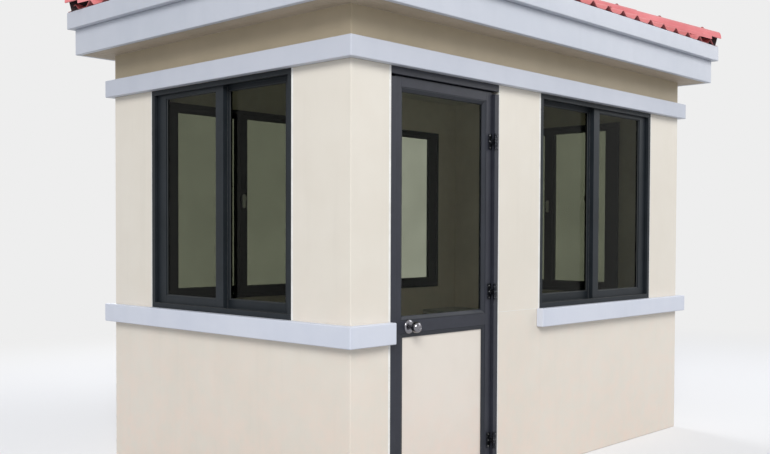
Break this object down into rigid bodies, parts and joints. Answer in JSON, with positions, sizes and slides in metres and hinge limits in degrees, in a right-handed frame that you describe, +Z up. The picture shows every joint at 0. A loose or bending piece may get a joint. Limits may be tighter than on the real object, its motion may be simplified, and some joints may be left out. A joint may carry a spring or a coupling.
{
  "type": "security guard booth",
  "caption": "Prefabricated guard booth with cream panel walls, dark sliding windows, a half-glazed hinged door and a low hipped red sheet roof over a stepped cornice.",
  "frame": {"origin": "centre of the foot, on the ground", "axes": "+Z up, the door side faces -Y, +X to the right when facing the door"},
  "size_m": [3.684, 2.484, 3.187],
  "materials": {
    "wall_panel": "satin cream coating on flat steel-faced panels",
    "floor_covering": "grey sheet floor covering",
    "ceiling_panel": "matt off-white panel",
    "worktop_board": "pale grey laminate board",
    "pale_trim": "satin bluish-white folded sheet",
    "roof_sheet": "salmon-red moulded roof sheet, slightly weathered",
    "dark_frame": "anthracite powder coat on aluminium profiles",
    "tinted_glass": "dark grey-green tinted glass",
    "pale_plastic": "off-white moulded latch",
    "gasket_strip": "dark greenish glazing bead",
    "door_infill": "satin cream panel",
    "hinge_steel": "dark coated hinge with worn bright edges",
    "knob_steel": "brushed stainless steel"
  },
  "bodies": {
    "booth": {"front_wall_apron": "wall_panel", "front_wall_piers": "wall_panel", "right_wall_apron": "wall_panel", "right_wall_piers": "wall_panel", "back_wall_apron": "wall_panel", "back_wall_piers": "wall_panel", "left_wall_apron": "wall_panel", "left_wall_piers": "wall_panel", "wall_heads": "wall_panel", "floor": "floor_covering", "ceiling": "ceiling_panel", "worktop": "worktop_board", "sill_band": "pale_trim", "head_band": "pale_trim", "soffit": "pale_trim", "lower_fascia": "pale_trim", "upper_fascia": "pale_trim", "roof_slope_front": "roof_sheet", "roof_slope_right": "roof_sheet", "roof_slope_back": "roof_sheet", "roof_slope_left": "roof_sheet", "hip_caps": "roof_sheet", "ridge_cap": "roof_sheet", "front_window_frame": "dark_frame", "right_window_frame": "dark_frame", "back_window_frame": "dark_frame", "left_window_frame": "dark_frame", "front_window_sashes": "dark_frame", "right_window_sashes": "dark_frame", "back_window_sashes": "dark_frame", "left_window_sashes": "dark_frame", "door_frame": "dark_frame", "front_window_glass": "tinted_glass", "right_window_glass": "tinted_glass", "back_window_glass": "tinted_glass", "left_window_glass": "tinted_glass", "window_latches": "pale_plastic", "hinge_frame_leaves": "hinge_steel"},
    "door": {"door_leaf": "dark_frame", "door_beads": "gasket_strip", "door_glass": "tinted_glass", "door_panel": "door_infill", "hinge_door_leaves": "hinge_steel", "knob_roses": "knob_steel"},
    "knob": {"door_knob": "knob_steel"}
  },
  "joints": [
    {"name": "door_swing", "type": "hinge", "parent": "booth", "child": "door", "pos_m": [-0.513, -1.012, 1.035], "axis": [0, 0, 1], "range_deg": [0, 110]},
    {"name": "knob_turn", "type": "hinge", "parent": "door", "child": "knob", "pos_m": [-1.179, -0.986, 0.8875], "axis": [0, -1, 0], "range_deg": [-50, 50], "stiffness_Nm_per_rad": 0.4}
  ]
}
